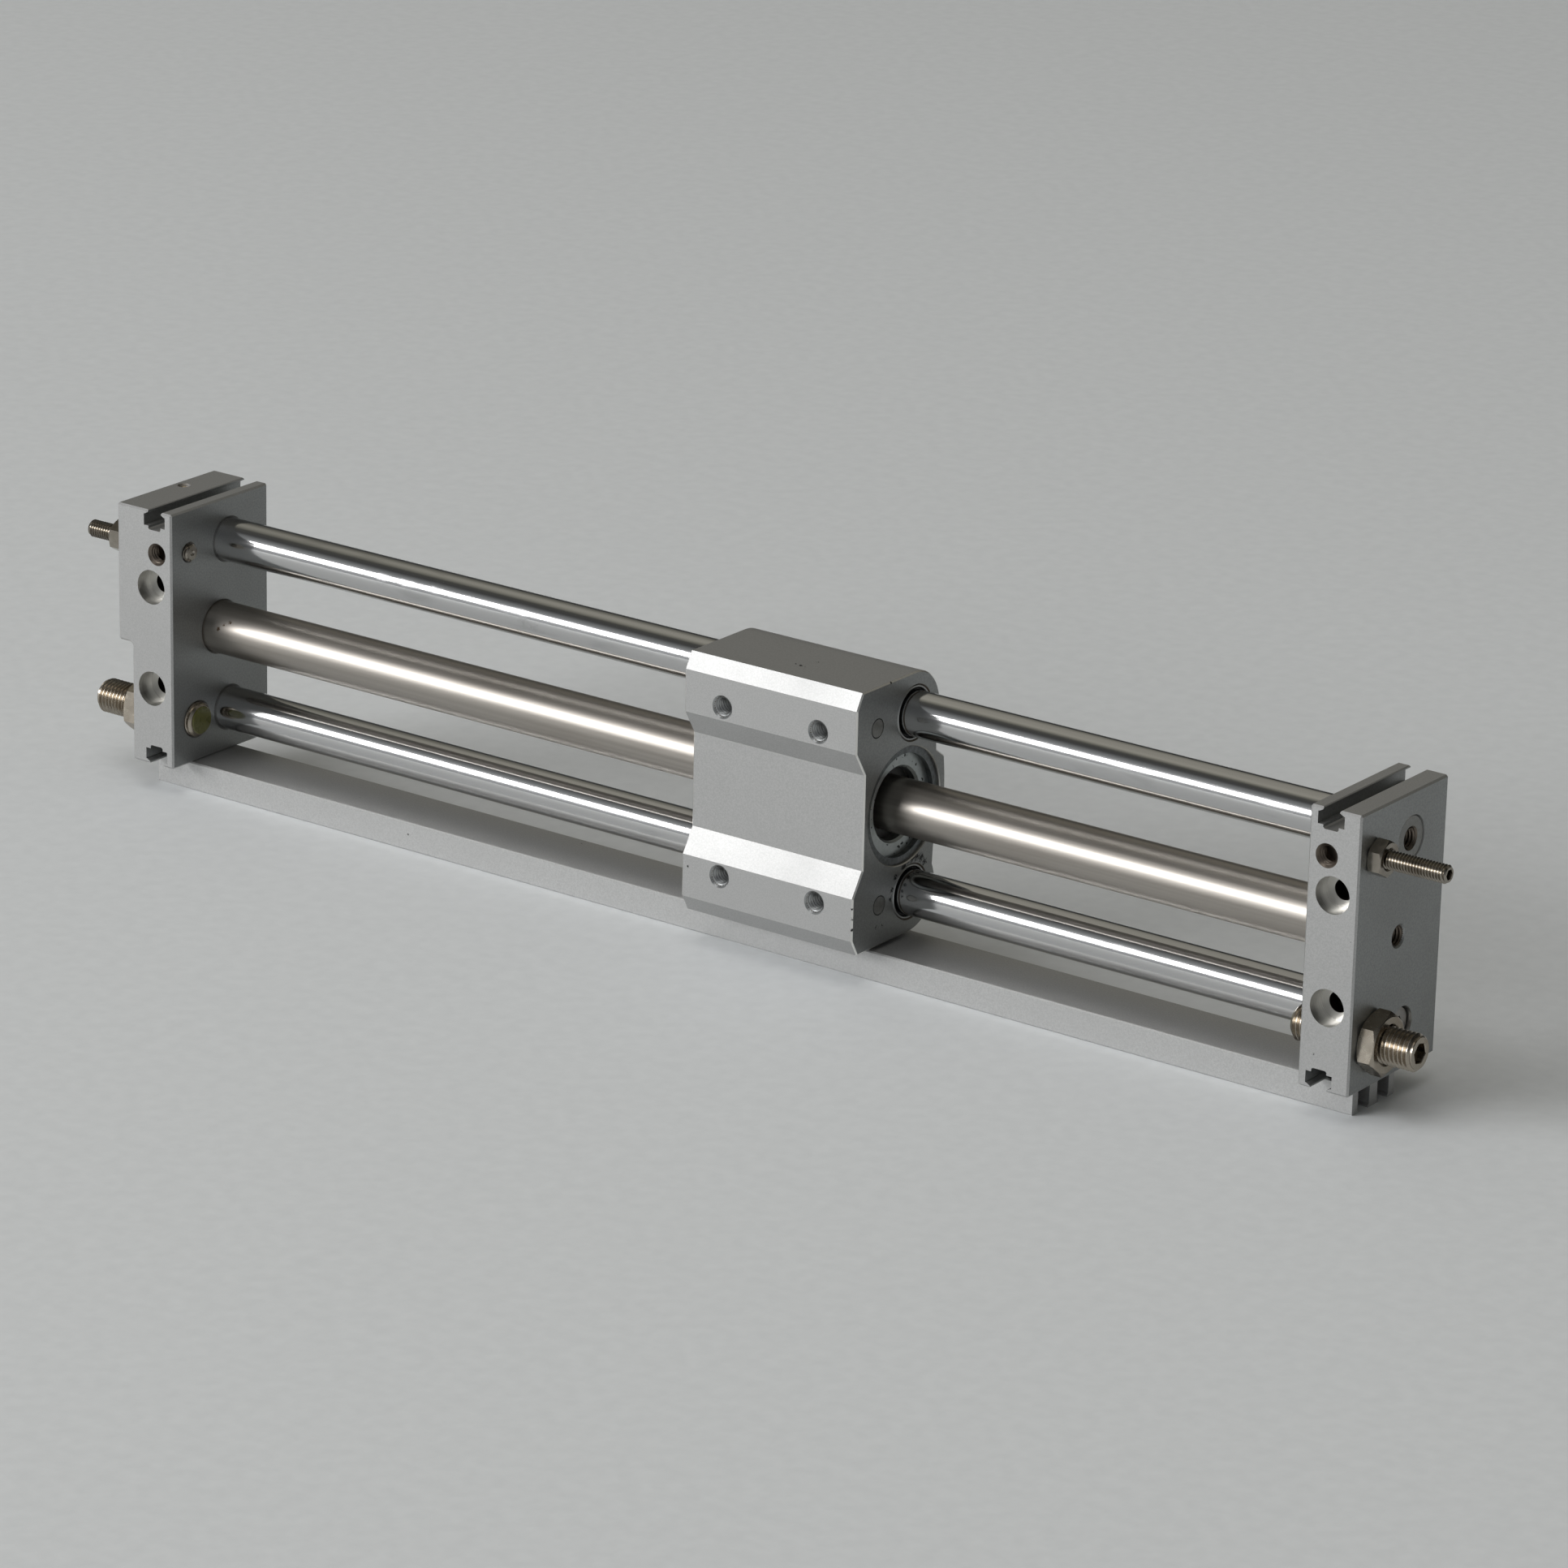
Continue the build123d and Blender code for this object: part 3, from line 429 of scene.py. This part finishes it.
FINISHES = {
    "anodised": anodised_finish(),
    "worn_anodised": anodised_finish("worn_anodised_aluminium", worn=True),
    "light_anodised": anodised_finish("light_anodised_aluminium", light=0.60),
    # Darker copies of the anodised aluminium, painted shade for the end faces
    "shaded_end_anodised": shaded_end_finish(),
    "worn_shaded_end_anodised": shaded_end_finish("worn_shaded_end_anodised_aluminium", worn=True),
    "washer": washer_finish(),
    "machined": machined_finish("machined_aluminium", rgb(0.78, 0.77, 0.74), rgb(0.62, 0.61, 0.58)),
    # Bare metal on the slider's end bevel, painted lighter as a painted highlight along the edges
    "edge": machined_finish("bare_edge_painted_highlight", rgb(0.90, 0.89, 0.86), rgb(0.76, 0.75, 0.72), worn=True),
    # Painted shade: a dark copy of the cut metal for the walls deep in holes, seats and tapped bores
    "painted_shade_bore": machined_finish("painted_shade_bore", rgb(0.20, 0.17, 0.14), rgb(0.11, 0.09, 0.075)),
    "bushing": machined_finish("bushing_steel", rgb(0.46, 0.47, 0.47), rgb(0.36, 0.37, 0.37)),
    "chrome": chrome_finish(),
    "smudged_chrome": chrome_finish("smudged_hard_chrome", smudged=True),
    "tube_steel": tube_finish(),
    "nickel": nickel_finish(
        "nickel_plate", rgb(0.46, 0.415, 0.35), rgb(0.38, 0.34, 0.285), rgb(0.26, 0.21, 0.155), 0.21, 0.29),
    # A darker copy of the nickel, painted shade on the small screws and the nuts
    "painted_shade_nickel": nickel_finish(
        "shaded_nickel_plate", rgb(0.36, 0.33, 0.29), rgb(0.29, 0.27, 0.23), rgb(0.18, 0.15, 0.12),
        0.18, 0.26),
    # Painted shade: a dark copy of the nickel for the roots of the threads
    "groove": nickel_finish(
        "thread_grooves_painted_shade", rgb(0.20, 0.17, 0.14), rgb(0.14, 0.12, 0.10), rgb(0.08, 0.06, 0.05), 0.30, 0.40),
    "dark_steel": steel_finish("blackened_steel", rgb(0.20, 0.21, 0.22), rgb(0.10, 0.11, 0.11), 0.30, 0.44),
    "pad_steel": steel_finish("ground_steel", rgb(0.27, 0.27, 0.26), rgb(0.20, 0.20, 0.19), 0.30, 0.42),
    "magnet": steel_finish("magnet_plate", rgb(0.58, 0.58, 0.59), rgb(0.46, 0.46, 0.47), 0.22, 0.34),
    "yoke": steel_finish("zinc_plate", rgb(0.44, 0.42, 0.40), rgb(0.32, 0.31, 0.30), 0.34, 0.46),
    "piston": steel_finish("chromated_aluminium", rgb(0.68, 0.60, 0.42), rgb(0.56, 0.48, 0.32), 0.30, 0.42),
    "brass": steel_finish("brass", rgb(0.90, 0.80, 0.66), rgb(0.76, 0.64, 0.50), 0.20, 0.30),
    "seal": rubber_finish("black_rubber", rgb(0.030, 0.030, 0.030), rgb(0.015, 0.015, 0.015), 0.55),
    "wiper": rubber_finish("black_wiper", rgb(0.022, 0.020, 0.019), rgb(0.010, 0.010, 0.010), 0.45),
    "bearing": rubber_finish("bearing_liner", rgb(0.10, 0.085, 0.07), rgb(0.05, 0.045, 0.04), 0.40),
    # The bumper's olive polyurethane, darkened with painted shade
    "bumper": rubber_finish(
        "shaded_bumper_polyurethane", rgb(0.115, 0.112, 0.020), rgb(0.085, 0.085, 0.013), 0.30, 0.3),
}

OWN_FINISHES = {
    "slider_block": "worn_anodised",
    "switch_rail": "light_anodised",
    "upper_guide_shaft": "smudged_chrome",
    "left_end_spacer": "washer",
    "right_end_spacer": "washer",
    "lower_shaft_screws": "yoke",
    # The nuts take the nickel's darker copy, painted shade
    "left_small_lock_nut": "painted_shade_nickel",
    "right_small_lock_nut": "painted_shade_nickel",
    "upper_left_bushing": "bushing",
    "upper_right_bushing": "bushing",
    "lower_left_bushing": "bushing",
    "lower_right_bushing": "bushing",
}


def dress_nodes():
    """Every node of the frame takes its own finish or the one that the record names for it."""
    for part in frame["record"]["subparts"]:
        name = part["node"]
        mesh = nodes[name].data
        mesh.materials.clear()
        mesh.materials.append(FINISHES[OWN_FINISHES.get(name, part["material_slot"])])


def dress_faces(node, finish, chosen):
    """The faces that a test picks by their middle, in millimetres, and their normal take a finish."""
    mesh = nodes[node].data
    mesh.materials.append(FINISHES[finish])
    index = len(mesh.materials) - 1
    for polygon in mesh.polygons:
        if chosen(polygon.center / MM, polygon.normal):
            polygon.material_index = index


def off_line(spot, axis, centre):
    """Distance of a spot from a line along an axis."""
    across = [i for i in range(3) if i != axis]
    return math.hypot(spot[across[0]] - centre[0], spot[across[1]] - centre[1])


def on_end(spot, normal):
    """A face that looks to the left or the right."""
    return abs(normal.x) > END_FACING


def on_side(spot, normal):
    """A face of a round piece's side."""
    return abs(normal.x) < SIDE_FACING


def on_slider_edge(spot, normal):
    """A face of the narrow bevel round the slider's ends."""
    from_end = SLIDER_HALF - abs(spot.x - SLIDER_X)
    if not BEVEL_FACING < abs(normal.x) < SIDE_FACING or from_end > BEVEL_WIDTH:
        return False
    shafts = [off_line(spot, 0, line) for line in (LOWER_AXIS, UPPER_AXIS)]
    return off_line(spot, 0, TUBE_AXIS) > BEVEL_OFF_TUBE and min(shafts) > BEVEL_OFF_SHAFT


def dress_bore(node, finish, hole, radius, start, end):
    """The faces of a hole take a finish: those within a radius and between two depths."""

    def inside(spot, normal):
        depth = (hole.face - spot[hole.axis]) * hole.toward
        return off_line(spot, hole.axis, hole.centre) < radius and start < depth < end

    dress_faces(node, finish, inside)


def dress_tapping(node, hole, depth, mouth):
    """A tapped hole: a bevelled mouth in its own finish and a bore darkened with painted shade."""
    dress_bore(node, mouth, hole, TAP_MOUTH, RIM, MOUTH_DEPTH)
    dress_bore(node, "painted_shade_bore", hole, TAP_MOUTH, MOUTH_DEPTH, depth)


def front_tapping(end):
    """The tapped hole in the front of the left or right plate."""
    place = mount_place(f"{end}_front_tapping")
    return front_hole((place.x, place.z), PLATE_LOW.y)


def port(name):
    """An air port in the right plate's outer face."""
    place = mount_place(name)
    return end_hole((place.y, place.z), PLATE_HIGH.x)


def dress_plates():
    back = PLATE_HIGH.y - PLATE_LOW.y - BACK_RIM
    for side, end in ((-1, "left"), (1, "right")):
        plate = f"{end}_end_plate"
        # The plates' end faces take the darker copy, painted shade
        dress_faces(plate, "shaded_end_anodised", on_end)
        for spot in hole_pattern("plate_holes"):
            if spot[0] * side > 0:
                hole = front_hole(spot, PLATE_LOW.y)
                dress_bore(plate, "machined", hole, COUNTERBORE_REACH, RIM, back)
                # Deeper in the fixing holes the walls are painted in shade
                dress_bore(plate, "painted_shade_bore", hole, FIXING_REACH, FIXING_START, back)
        # The plates' front tappings are painted in shade, mouth and bore
        dress_tapping(plate, front_tapping(end), FRONT_TAPPING_DEPTH, "painted_shade_bore")
    # The port's mouth in the outer face takes the same painted shade
    dress_tapping("right_end_plate", port("tube_port"), TUBE_PORT_DEPTH, "shaded_end_anodised")
    recess = end_hole(LOWER_AXIS, PLATE_HIGH.x)
    dress_bore("right_end_plate", "machined", recess, RECESS_REACH, RIM, RECESS_DEPTH)
    dress_faces("upper_guide_shaft", "pad_steel", on_end)
    hole = port("shaft_port")
    # The shaft's port is painted in shade inside
    dress_bore("upper_guide_shaft", "painted_shade_bore", hole, TAP_MOUTH, SHAFT_PORT_START, SHAFT_PORT_DEPTH)


def dress_slider():
    # The slider's end faces take the darker copy, painted shade
    dress_faces("slider_block", "worn_shaded_end_anodised", on_end)
    # The slider's end bevel takes the painted highlight
    dress_faces("slider_block", "edge", on_slider_edge)
    for spot in hole_pattern("slider_holes"):
        hole = front_hole(spot, SLIDER_LOW.y)
        dress_tapping("slider_block", hole, SLIDER_TAPPING_DEPTH, "bushing")
    for side, end in ((-1, "left"), (1, "right")):
        face = SLIDER_X + side * SLIDER_HALF
        bore = end_hole(TUBE_AXIS, face, side)
        dress_bore("slider_block", "machined", bore, SLIDER_BORE_REACH, RIM, SLIDER_HALF)
        for row, line in (("lower", LOWER_AXIS), ("upper", UPPER_AXIS)):
            seat = end_hole(line, face, side)
            # The walls of the bushing seats are painted in shade
            dress_bore("slider_block", "painted_shade_bore", seat, BUSHING_SEAT_REACH, RIM, SLIDER_HALF)
            dress_bore(f"{row}_{end}_bushing", "seal", seat, LINER_REACH, LINER_START, LINER_DEPTH)
    dress_faces("contact_pads", "seal", on_side)


def mesh_piece(name, bm, finishes, body):
    """A piece of the scene's own on a body, with smooth flanks and sharp corners."""
    bmesh.ops.remove_doubles(bm, verts=bm.verts, dist=MERGE_DISTANCE * MM)
    bmesh.ops.recalc_face_normals(bm, faces=bm.faces)
    mesh = bpy.data.meshes.new(name)
    bm.to_mesh(mesh)
    bm.free()
    mesh.shade_smooth()
    mesh.set_sharp_from_angle(angle=math.radians(THREAD_SHARPNESS))
    for finish in finishes:
        mesh.materials.append(FINISHES[finish])
    piece = bpy.data.objects.new(name, mesh)
    bpy.context.scene.collection.objects.link(piece)
    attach(piece, body)
    return piece


def turned(i):
    """The angle of one of the sides of a thread."""
    return 2 * math.pi * i / THREAD_SIDES


def helix_skin(bm, point, length, pitch, radius_at, dark):
    """A skin wound along a helix; the strip whose number is dark takes the second finish, the painted shade
    of the thread's root.
    """
    corner_count = len(THREAD_CORNERS)
    turns = math.ceil(length / pitch) + 1
    rows = []
    for k in range(-corner_count, corner_count * turns + 1):
        share = THREAD_CORNERS[k % corner_count]
        depth = THREAD_DEPTHS[k % corner_count]
        row = []
        for i in range(THREAD_SIDES):
            x = pitch * (k // corner_count + share + i / THREAD_SIDES)
            x = min(max(x, 0.0), length)
            row.append(bm.verts.new(point(x, radius_at(x, depth), turned(i))))
        rows.append(row)
    for k in range(len(rows) - 1):
        for i in range(THREAD_SIDES):
            low, high = rows[k][i], rows[k + 1][i]
            if i + 1 < THREAD_SIDES:
                quad = (low, rows[k][i + 1], rows[k + 1][i + 1], high)
            elif k + corner_count + 1 < len(rows):
                quad = (low, rows[k + corner_count][0], rows[k + corner_count + 1][0], high)
            else:
                continue
            bm.faces.new(quad).material_index = int(k % corner_count == dark)


def hexagon_radius(width, angle):
    """Distance from the centre to the side of a hexagon of a width across its flats."""
    step = math.pi / 3
    return width / 2 / math.cos((angle % step) - step / 2)


def bridge(bm, a, b):
    """A band of faces between two rings."""
    for i in range(THREAD_SIDES):
        j = (i + 1) % THREAD_SIDES
        bm.faces.new((a[i], a[j], b[j], b[i]))


def cap(bm, ring, middle):
    """A fan of faces from a ring to one point."""
    for i in range(THREAD_SIDES):
        bm.faces.new((ring[i], ring[(i + 1) % THREAD_SIDES], middle))


def threaded_screw(kind, sizes, finish, tip):
    """A set screw in place of its plain node: thread, bevelled ends, and a hexagon socket outside."""
    node = f"{kind}_stop_screw"
    low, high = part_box(node)
    outward = 1.0 if (low.x + high.x) > 0 else -1.0
    start = low.x if outward > 0 else high.x
    length = high.x - low.x
    centre = Vector((0, (low.y + high.y) / 2, (low.z + high.z) / 2))
    radius = (high.z - low.z) / 2
    pitch = sizes["pitch"] * MM
    groove = GROOVE_SHARE * pitch
    end = radius - sizes["bevel"] * MM
    socket_depth = sizes["socket_depth"] * MM
    bm = bmesh.new()

    def point(x, r, angle):
        return Vector((start + outward * x, centre.y + r * math.cos(angle), centre.z + r * math.sin(angle)))

    def radius_at(x, depth):
        return min(end + min(x, length - x), radius - groove * depth)

    def ring(x, radii):
        return [bm.verts.new(point(x, r, turned(i))) for i, r in enumerate(radii)]

    helix_skin(bm, point, length, pitch, radius_at, 2)

    turn = math.radians(sizes["socket_turn"])
    width = sizes["socket_width"] * MM
    hexagon = [hexagon_radius(width, turned(i) + turn) for i in range(THREAD_SIDES)]
    rings = [ring(length, [end] * THREAD_SIDES), ring(length, [r * SOCKET_MOUTH_SHARE for r in hexagon])]
    rings += [ring(length - SOCKET_MOUTH_DEPTH * MM, hexagon), ring(length - socket_depth, hexagon)]
    for a, b in zip(rings, rings[1:]):
        bridge(bm, a, b)
    cap(bm, rings[-1], bm.verts.new(point(length - socket_depth * SOCKET_POINT_SHARE, 0.0, 0.0)))

    inner = [ring(x, [r] * THREAD_SIDES) for x, r in tip]
    bridge(bm, inner[0], ring(0.0, [end] * THREAD_SIDES))
    for a, b in zip(inner, inner[1:]):
        bridge(bm, b, a)
    cap(bm, inner[-1], bm.verts.new(point(tip[-1][0], 0.0, 0.0)))

    # The root of the thread takes the painted shade of the groove finish
    piece = mesh_piece(f"{kind}_screw", bm, (finish, "groove"), f"{kind}_stop")
    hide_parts(node)


def stop_screws():
    small_tip = [(depth * MM, radius * MM) for depth, radius in SMALL_TIP]
    for side in ("left", "right"):
        low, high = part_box(f"{side}_bumper")
        rim = (high.z - low.z) / 2
        large_tip = [(0.0, rim), (BUMPER_SEAT_DEPTH * MM, rim)]
        # The small screws take the nickel's darker copy, painted shade
        threaded_screw(f"{side}_small", SMALL_SCREW, "painted_shade_nickel", small_tip)
        threaded_screw(f"{side}_large", LARGE_SCREW, "nickel", large_tip)


def thread_insert(name, hole, depth, body, finishes):
    """The ridges of an inner thread, as a sleeve sunk a little in the wall of its hole."""
    across = [i for i in range(3) if i != hole.axis]
    bm = bmesh.new()

    def point(sunk, r, angle):
        spot = Vector((0, 0, 0))
        spot[hole.axis] = hole.face - hole.toward * (MOUTH_DEPTH + sunk)
        spot[across[0]] = hole.centre[0] + r * math.cos(angle)
        spot[across[1]] = hole.centre[1] + r * math.sin(angle)
        return spot * MM

    def radius_at(sunk, share):
        fade = min(1.0, min(sunk, depth - sunk) / RIDGE_FADE)
        return TAP_RADIUS - SLEEVE_INSIDE - RIDGE_HEIGHT * share * fade

    def ring(sunk, r):
        return [bm.verts.new(point(sunk, r, turned(i))) for i in range(THREAD_SIDES)]

    helix_skin(bm, point, depth, PITCH_TAP, radius_at, 0)
    inside = TAP_RADIUS - SLEEVE_INSIDE
    outside = TAP_RADIUS + SLEEVE_SUNK
    rings = [ring(0.0, inside), ring(0.0, outside), ring(depth, outside), ring(depth, inside)]
    for a, b in zip(rings, rings[1:]):
        bridge(bm, a, b)
    mesh_piece(name, bm, finishes, body)


def inner_threads():
    # Thread roots in painted shade; in the plates' and the shaft's holes the crests too
    light_crests_shaded_roots = ("bushing", "painted_shade_bore")
    all_painted_shade = ("painted_shade_bore", "groove")
    for number, spot in enumerate(hole_pattern("slider_holes"), 1):
        hole = front_hole(spot, SLIDER_LOW.y)
        thread_insert(f"slider_thread_{number}", hole, LONG_THREAD, "carriage", light_crests_shaded_roots)
    for end in ("left", "right"):
        name = f"{end}_front_thread"
        thread_insert(name, front_tapping(end), SHORT_THREAD, "frame", all_painted_shade)
    thread_insert("tube_port_thread", port("tube_port"), SHORT_THREAD, "frame", all_painted_shade)
    thread_insert("shaft_port_thread", port("shaft_port"), LONG_THREAD, "frame", all_painted_shade)


def look_matrix(place, yaw, pitch, roll):
    """The camera's matrix from its place and from a yaw, a pitch and a roll in degrees."""
    yaw, pitch, roll = (math.radians(v) for v in (yaw, pitch, roll))
    ahead = Vector((-math.sin(yaw) * math.cos(pitch), math.cos(yaw) * math.cos(pitch), math.sin(pitch)))
    side = ahead.cross(Vector((0, 0, 1))).normalized()
    up = side.cross(ahead)
    right = math.cos(roll) * side + math.sin(roll) * up
    above = -math.sin(roll) * side + math.cos(roll) * up
    turn = Matrix((right, above, -ahead)).transposed().to_4x4()
    return Matrix.Translation(place) @ turn


def set_camera():
    data = bpy.data.cameras.new("camera")
    data.sensor_width = SENSOR
    data.sensor_fit = "HORIZONTAL"
    data.lens = CAMERA_FOCUS / IMAGE_SIDE * SENSOR
    data.clip_start = NEAR_LIMIT
    data.clip_end = FAR_LIMIT
    camera = bpy.data.objects.new("camera", data)
    camera.matrix_world = look_matrix(Vector(CAMERA_PLACE) * MM, CAMERA_YAW, CAMERA_PITCH, CAMERA_ROLL)
    bpy.context.scene.collection.objects.link(camera)
    bpy.context.scene.camera = camera


def area_light(name, direction, distance, size, power):
    """A white lamp that faces the object from a direction."""
    data = bpy.data.lights.new(name, "AREA")
    data.shape = "RECTANGLE"
    data.size, data.size_y = size
    data.energy = power
    lamp = bpy.data.objects.new(name, data)
    lamp.location = Vector(direction).normalized() * distance
    lamp.rotation_euler = Vector(direction).to_track_quat("Z", "Y").to_euler()
    bpy.context.scene.collection.objects.link(lamp)


def set_floor():
    bm = bmesh.new()
    for x, y in ((-1, -1), (1, -1), (1, 1), (-1, 1)):
        bm.verts.new((x * FLOOR_HALF, y * FLOOR_HALF, 0.0))
    bm.faces.new(bm.verts)
    mesh = bpy.data.meshes.new("floor")
    bm.to_mesh(mesh)
    bm.free()
    look = Finish("pale_floor", {"Roughness": 0.75, "Specular IOR Level": 0.2})
    tint = look.shaded(look.noise(260.0, 3.0), rgb(0.80, 0.82, 0.83), rgb(0.84, 0.86, 0.87))
    look.wear("Base Color", tint)
    mesh.materials.append(look.material)
    floor = bpy.data.objects.new("floor", mesh)
    bpy.context.scene.collection.objects.link(floor)


def set_world():
    """A soft room, dark between the window and the ceiling and on the side away from the window."""
    world = bpy.data.worlds.new("room")
    bpy.context.scene.world = world
    world.use_nodes = True
    tree = world.node_tree
    place = tree.nodes.new("ShaderNodeTexCoord").outputs["Generated"]

    def share_along(direction):
        node = tree.nodes.new("ShaderNodeVectorMath")
        node.operation = "DOT_PRODUCT"
        node.inputs[1].default_value = direction
        tree.links.new(place, node.inputs[0])
        return node.outputs["Value"]

    ramp = tree.nodes.new("ShaderNodeValToRGB")
    tree.links.new(share_along(ROOM_AXIS), ramp.inputs[0])
    stops = ramp.color_ramp.elements
    for stop, (position, color) in zip(stops, (ROOM_STOPS[0], ROOM_STOPS[-1])):
        stop.position = position
        stop.color = rgb(*color)
    for position, color in ROOM_STOPS[1:-1]:
        stops.new(position).color = rgb(*color)
    share = tree.nodes.new("ShaderNodeMapRange")
    share.inputs["From Min"].default_value = -1.0
    share.inputs["To Min"].default_value = FAR_SIDE_SHARE
    tree.links.new(share_along(WINDOW_SIDE), share.inputs["Value"])
    tree.links.new(ramp.outputs[0], tree.nodes["Background"].inputs["Color"])
    tree.links.new(share.outputs[0], tree.nodes["Background"].inputs["Strength"])


dress_nodes()
dress_plates()
dress_slider()
stop_screws()
inner_threads()
set_camera()
set_floor()
set_world()
area_light("key", KEY_DIRECTION, KEY_DISTANCE, KEY_SIZE, KEY_POWER)
area_light("overhead", OVERHEAD_DIRECTION, OVERHEAD_DISTANCE, OVERHEAD_SIZE, OVERHEAD_POWER)

bpy.context.scene.view_settings.view_transform = "Standard"
